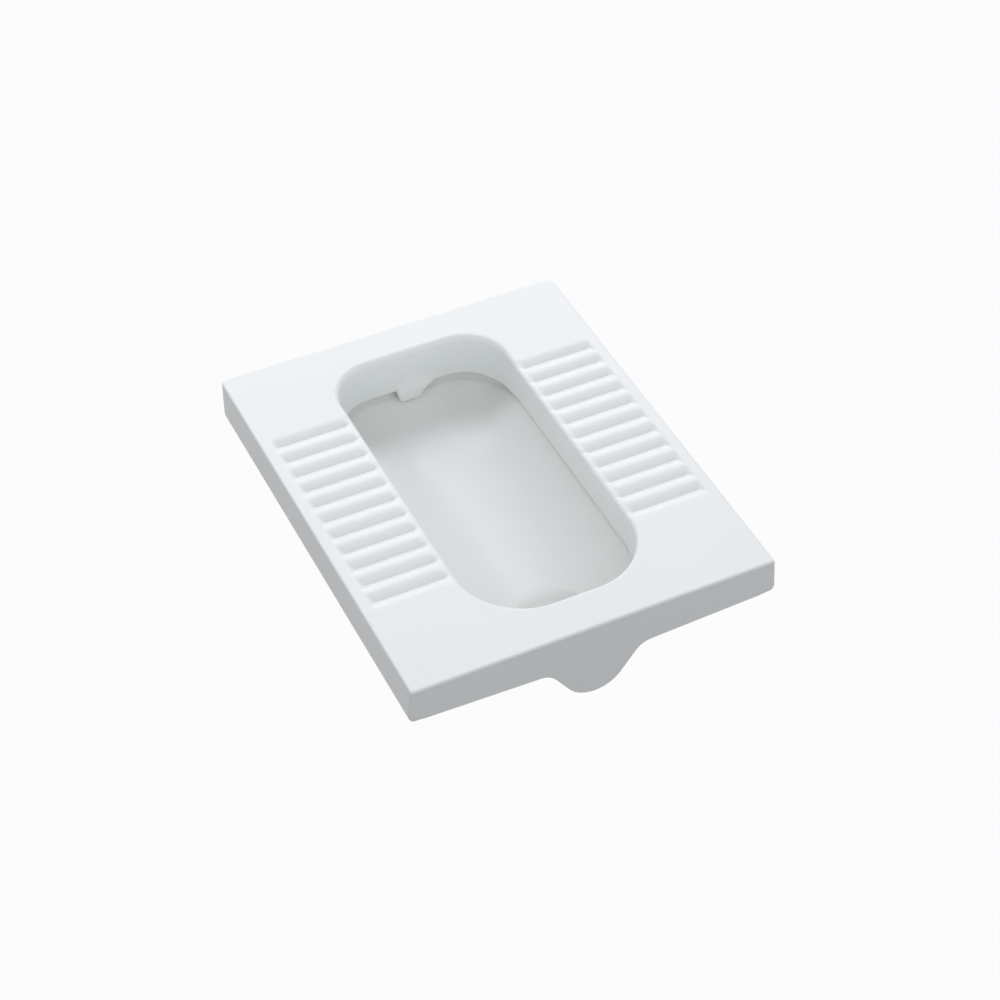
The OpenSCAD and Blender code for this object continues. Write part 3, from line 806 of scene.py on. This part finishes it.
def dish_depth(x, y, g, radius, front):
    """Depth of the bowl's surface at points of an outline that is g inside the bowl's edge. It
    sinks into the sump, whose mouth has that radius."""
    inner = smooth(g / FOOT_IN)
    inside = mix(-g, inside_edge(x, y, front), inner)
    power = mix(DISH_POWER, DISH_BACK_POWER, eased_over(DISH_TO_BACK, y))
    share = 1 - (1 - np.minimum(inside / OPEN_HALF_W, 1.0)) ** power
    dish = SLOT_FLOOR + FALL * mix(EDGE_FALL, 1.0, share)
    dish = dish + (1 - share) ** 0.8 * EDGE_DROP * back_drop(y) + share * fall_at(y)
    near = 1 - smooth((np.hypot(x, y - OUTLET_Y) - radius) / SUMP_RUN)
    return mix(dish, SUMP_DEPTH, near * inner)


def bowl_side(walls, radius, front, under, floor_n):
    """Rows of one side of the bowl, from the deck down the wall and along the floor to the sump."""
    rows = []
    for g, depth, drop in soft_steps(walls, 3):
        x, y = bowl_outline(g, 0.0, radius, front).T
        rows.append(np.stack([x, y, TOP - depth - drop * back_drop(y)], axis=1))
    for g in np.linspace(0.0, FOOT_IN, 17)[1:]:
        x, y = bowl_outline(g, 0.0, radius, front).T
        rows.append(np.stack([x, y, TOP - dish_depth(x, y, g, radius, front) - under], axis=1))
    for s in np.linspace(0.0, 1.0, floor_n + 1)[1:]:
        x, y = bowl_outline(FOOT_IN, s, radius, front).T
        depth = dish_depth(x, y, FOOT_IN, radius, front)
        rows.append(np.stack([x, y, TOP - depth - under], axis=1))
    return rows


def with_nose(row):
    """Pushes the outside's front out to the back of the lobe, in a boss of the nose's radius whose
    rim is eased over a few millimetres."""
    x, y, z = row.T
    axis_z = LOBE_BOTTOM + LOBE_R
    off_axis = np.hypot(x, z - axis_z)
    ease, start_run = 9.0, 20.0
    boss = 1 - smooth((off_axis - NOSE_R + 4.0) / ease)
    share = boss * smooth((OUTLET_Y - y) / start_run)
    return np.column_stack([x, mix(y, NOSE_END, share), z])


def horn_profile(root_z):
    """The horn's section from the sump's mouth down its bore, round its end and up its outside to
    the root, as (radius, z) points."""
    mouth_z = TOP - SUMP_DEPTH
    lip_r, root_r, step = 2.0, 4.0, 1.0
    low_z = HORN_END + lip_r + step
    bore = [(BORE_R, z) for z in np.linspace(mouth_z - MOUTH_R - step, low_z, 5)]
    outside = [(HORN_R, z) for z in np.linspace(low_z, root_z - root_r - step, 5)]
    return (arc((BORE_R + MOUTH_R, mouth_z - MOUTH_R), MOUTH_R, 90, 180, 5) + bore
            + arc((BORE_R + lip_r, HORN_END + lip_r), lip_r, 180, 270, 4)
            + arc((HORN_R - lip_r, HORN_END + lip_r), lip_r, -90, 0, 4) + outside
            + arc((HORN_R + root_r, root_z - root_r), root_r, 180, 90, 4))


def bowl_shell():
    """Trough, gully, sump and horn: one closed shell, inside and out."""
    inside = bowl_side(INSIDE_WALL, SUMP_R, BOWL_T - BOWL_END, 0.0, 36)
    outside = bowl_side(OUTSIDE_WALL, SUMP_R + BOWL_T, -BOWL_END, FLOOR_T, 22)
    outside = [with_nose(row) for row in outside]
    # The horn's rings have their points in line with those of the sump's mouth, and its two end
    # rings are those that the inside and the outside already have
    axis = np.array((0.0, OUTLET_Y))
    from_axis = inside[-1][:, :2] - axis
    from_axis /= column(np.hypot(*from_axis.T))
    horn = [np.column_stack([axis + radius * from_axis, np.full(len(from_axis), z)])
            for radius, z in horn_profile(TOP - SUMP_DEPTH - FLOOR_T)]
    return skin("bowl_shell", inside + horn[1:-1] + outside[::-1])


# ---------------------------------------------------------------- flush lip
# The tongue's sections, from inside the rim wall down to its tip: height above the rim wall's lower
# edge, left and right end, how far it stands out from the wall's face, and how square its ends are
TONGUE = [
    (24.0, -30.0, 45.0, 0.0, 0.0),
    (14.0, -29.0, 45.0, 1.6, 0.0),
    (6.0, -26.0, 45.0, 4.6, 0.2),
    (3.0, -20.5, 43.0, 5.7, 0.5),
    (0.0, -18.6, 35.0, 6.6, 0.8),
    (-4.0, -17.6, 27.0, 7.2, 1.0),
    (-9.0, -16.5, 21.5, 7.8, 1.0),
    (-14.0, -15.4, 17.6, 8.2, 1.0),
]
TONGUE_TIP_R = 2.5
# Its front starts this far inside the rim wall's face, and its back is a row of this many points
TONGUE_TUCK = 0.5
TONGUE_BACK_N = 12


def flush_scoop():
    """The lip under the flush inlet: a tongue that grows out of the rim wall's face and hangs below
    the rim, steep on its left side and blended into the rim by a wide fillet on its right."""
    rim_z = TOP - RIM_DEPTH - BACK_DROP
    tip_z = LIP_LOW[2] - 1.0
    wall_top = TOP - ROLL_BACK - rim_z
    turns = np.linspace(0.0, math.pi, 41)
    rows = []
    for height, left, right, out, square in soft_steps(TONGUE, 4):
        across = np.cos(turns)
        across = np.sign(across) * np.abs(across) ** mix(1.0, 0.5, square)
        swell = np.sin(turns) ** mix(3.0, 0.4, square)
        x = mix(left, right, 0.5) + (right - left) / 2 * across
        # The top of the tongue starts inside the rim wall's leaning face
        face_y = OPEN_BACK - RIM_LEAN * (1 - max(height, 0.0) / wall_top)
        front = np.column_stack([x, face_y + TONGUE_TUCK - out * swell])
        back_x = np.linspace(left, right, TONGUE_BACK_N + 2)[1:-1]
        back_y = OPEN_BACK + mix(RIM_WALL_T - 3.0, 0.8, square)
        back = np.column_stack([back_x, np.full(TONGUE_BACK_N, back_y)])
        plan = np.concatenate([front, back])
        rows.append((plan, rim_z + height))
    last = rows.pop()[0]
    middle = last.mean(axis=0)
    grid = [np.column_stack([plan, np.full(len(plan), z)]) for plan, z in rows]
    for a in np.linspace(0.0, 0.9 * QUARTER, 6):
        inset = TONGUE_TIP_R * (1 - math.cos(a))
        size = np.ptp(last, axis=0)
        plan = middle + (last - middle) * (1 - 2 * inset / size)
        z = tip_z + TONGUE_TIP_R * (1 - math.sin(a))
        grid.append(np.column_stack([plan, np.full(len(plan), z)]))
    return skin("flush_scoop", grid, closed=False)


# ---------------------------------------------------------------- socket and seals
def inlet_boss():
    """The round china socket for the flush pipe, with a rounded mouth and a low collar."""
    length = SOCKET_HIGH[1] - SOCKET_LOW[1]
    outer = SOCKET_HIGH[0]
    bore = INLET_BORE_R
    start, edge_r, rim_r, collar_w = 0.3, 1.5, 2.0, 8.0
    outline = [(bore, start), (outer - edge_r, start)]
    outline += arc((outer - edge_r, length - collar_w + edge_r), edge_r, -90, 0, 4)
    outline += arc((outer - rim_r, length - rim_r), rim_r, 0, 90, 6)
    outline += arc((bore + edge_r, length - edge_r), edge_r, 90, 180, 5)
    outline += [(bore, length - edge_r - 1.0), (bore, length / 2)]
    return lathe("inlet_boss", outline, (0.0, SOCKET_LOW[1], INLET_Z), "Y")


def flush_pipe_seal():
    """The rubber sleeve in the socket: a flange with a raised bead, and three thin fins inside that
    grip the pipe. Its outline runs out along the inner end, over the barrel and the flange, and
    back along the bore."""
    start = PIPE_SEAL_LOW[1]
    length = PIPE_SEAL_HIGH[1] - start
    seat = SOCKET_HIGH[1] - start
    flange_r = PIPE_SEAL_HIGH[0]
    barrel_r = INLET_BORE_R - 0.1
    bore_r = 16.0
    outline = [(bore_r + 0.9, 0.4), (barrel_r - 0.8, 0.4), (barrel_r, 1.4), (barrel_r, seat),
               (flange_r - 0.8, seat), (flange_r - 0.2, seat + 0.2)]
    outline += arc((flange_r - 1.2, length - 1.2), 1.2, 0, 90, 5)
    outline += [(flange_r - 2.8, length), (flange_r - 3.3, length - 0.7)]
    outline += [(bore_r + 3.2, length - 0.7)]
    outline += arc((bore_r + 1.6, length - 1.5), 1.5, 60, 180, 6)
    for y in (seat - 2.0, seat - 8.0, seat - 14.0):
        outline += [(bore_r + 0.9, y + 0.5), (bore_r + 0.1, y + 0.2), (bore_r + 0.1, y - 0.4),
                    (bore_r + 0.9, y - 1.8)]
    return lathe("flush_pipe_seal", outline, (0.0, start, INLET_Z), "Y")


def soil_pipe_seal():
    """The rubber ring on the horn, with one round lip and two lower fins that close the soil
    pipe."""
    low, high = SOIL_SEAL_LOW[2], SOIL_SEAL_HIGH[2]
    height = high - low
    in_r = HORN_R + 0.1
    bead_r = 3.0
    out_r = SOIL_SEAL_HIGH[0] - bead_r
    outline = [(in_r, 0.5), (in_r + 0.5, 0.0), (out_r - 1.4, 0.0), (out_r - 0.6, 0.8)]
    for z in (3.4, 8.0):
        outline += [(out_r - 0.6, z - 1.6), (out_r + 1.3, z), (out_r + 1.5, z + 0.5),
                    (out_r + 1.2, z + 0.9), (out_r - 0.6, z + 1.2)]
    outline += [(out_r - 0.6, height - 2 * bead_r)]
    outline += arc((out_r, height - bead_r), bead_r, -90, 90, 12)
    outline += [(in_r + 0.5, height), (in_r, height - 0.5), (in_r, height / 2)]
    return lathe("soil_pipe_seal", outline, (0.0, OUTLET_Y, low), "Z")


# ---------------------------------------------------------------- floor, light and camera
FLOOR_GAP = 1.0
FLOOR_REACH = 9000.0
WORLD_LEVEL = 0.81
# The surround is brighter by this share in front and as much darker behind, and it is darker by
# this share overhead
WORLD_SLOPE = 0.28
WORLD_TOP_FALL = 0.25
# The key stands behind the pan and to its right, so that the faces turned to the camera are
# shaded. Its azimuth is counted from the back
KEY_AZIMUTH = 16.0
KEY_ELEVATION = 33.0
KEY_DISTANCE = 8000.0
KEY_SIDE = 5800.0
KEY_WATTS = 338.0

# The photograph's camera, as worked out from where the slab's corners lie in it. Its azimuth is
# counted from the front
CAMERA_AZIMUTH = -25.99171509
CAMERA_ELEVATION = 44.32929212
CAMERA_EYE = (-982.26, -2052.80, 2217.89)
FOCAL_PIXELS = 2422.540
PHOTO_SIDE = 1000
SENSOR_W = 36.0
CLIP_END = 100000.0


def direction_at(azimuth, elevation, y_sign):
    """The direction at an azimuth, counted from +Y or -Y towards +X, and an elevation."""
    turn, rise = math.radians(azimuth), math.radians(elevation)
    return Vector((math.sin(turn) * math.cos(rise), y_sign * math.cos(turn) * math.cos(rise),
                   math.sin(rise)))


def studio_floor():
    """A wide floor just under the horn. The eye sees it almost white, with a faint shadow."""
    side = FLOOR_REACH * METRE
    z = (HORN_END - FLOOR_GAP) * METRE
    corners = [(-side, -side, z), (side, -side, z), (side, side, z), (-side, side, z)]
    mesh = bpy.data.meshes.new("studio_floor")
    mesh.from_pydata(corners, [], [(0, 1, 2, 3)])
    floor = bpy.data.objects.new("studio_floor", mesh)
    bpy.context.scene.collection.objects.link(floor)
    material = new_material("matt_white_paint")
    tree = material.node_tree
    matt = add(tree, "ShaderNodeBsdfDiffuse", {"Color": linear("62615F")})
    seen = bright_for_the_eye(tree, matt, "ShaderNodeEmission", 0.97)
    add(tree, "ShaderNodeOutputMaterial", {"Surface": seen})
    mesh.materials.append(material)
    return floor


def studio_world():
    """A plain grey surround, a little brighter in front and darker overhead, that is white where it
    is seen."""
    world = bpy.data.worlds.new("studio")
    bpy.context.scene.world = world
    world.use_nodes = True
    tree = world.node_tree
    tree.nodes.clear()
    direction = add(tree, "ShaderNodeTexCoord")
    split = add(tree, "ShaderNodeSeparateXYZ", (direction,)).node.outputs
    level = add(tree, "ShaderNodeMath", (split[1], -WORLD_SLOPE * WORLD_LEVEL, WORLD_LEVEL),
                operation="MULTIPLY_ADD")
    level = add(tree, "ShaderNodeMath", (split[2], -WORLD_TOP_FALL * WORLD_LEVEL, level),
                operation="MULTIPLY_ADD")
    grey = add(tree, "ShaderNodeBackground", {"Color": linear("F9F9FF"), "Strength": level})
    seen = bright_for_the_eye(tree, grey, "ShaderNodeBackground", 1.0)
    add(tree, "ShaderNodeOutputWorld", {"Surface": seen})


def soft_box():
    """The key light: a big square soft box that faces the pan."""
    lamp = bpy.data.lights.new("key", "AREA")
    lamp.shape = "SQUARE"
    lamp.size = KEY_SIDE * METRE
    lamp.energy = KEY_WATTS
    lamp.color = linear("FAF9FF")[:3]
    away = direction_at(KEY_AZIMUTH, KEY_ELEVATION, 1)
    holder = bpy.data.objects.new("key", lamp)
    holder.location = away * KEY_DISTANCE * METRE
    holder.rotation_euler = (-away).to_track_quat("-Z", "Y").to_euler()
    bpy.context.scene.collection.objects.link(holder)


def photo_camera():
    """The camera at the photograph's place, angle and focal length."""
    back = direction_at(CAMERA_AZIMUTH, CAMERA_ELEVATION, -1)
    lens = bpy.data.cameras.new("photo_camera")
    lens.sensor_width = SENSOR_W
    lens.lens = FOCAL_PIXELS * SENSOR_W / PHOTO_SIDE
    lens.clip_end = CLIP_END * METRE
    camera = bpy.data.objects.new("photo_camera", lens)
    camera.location = Vector(CAMERA_EYE) * METRE
    camera.rotation_euler = (-back).to_track_quat("-Z", "Y").to_euler()
    bpy.context.scene.collection.objects.link(camera)
    bpy.context.scene.camera = camera


# ---------------------------------------------------------------- the assembly
def finish_piece(piece, node, material):
    """Gives a piece its material, hangs it on the root body and hides the CAD node that it stands
    for.
    """
    piece.data.materials.clear()
    piece.data.materials.append(material)
    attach(piece, "root")
    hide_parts(node)


photo_camera()
china = glazed_vitreous_china("glazed_vitreous_china", "EFF2F0", "EDF1EE")
# The trough's glaze is set darker and a touch greener than the deck's: painted shade in the hollow
shaded_trough_china = glazed_vitreous_china("painted_shade_trough_china", "E9EDE9", "E6EAE6")
rubber = epdm_rubber()
finish_piece(deck_shell(china), "deck_slab", china)
finish_piece(flush_scoop(), "flush_lip", china)
finish_piece(bowl_shell(), "bowl", shaded_trough_china)
finish_piece(inlet_boss(), "inlet_socket", china)
finish_piece(flush_pipe_seal(), "inlet_seal", rubber)
finish_piece(soil_pipe_seal(), "outlet_seal", rubber)

studio_floor()
studio_world()
soft_box()

bpy.context.scene.view_settings.view_transform = "Standard"
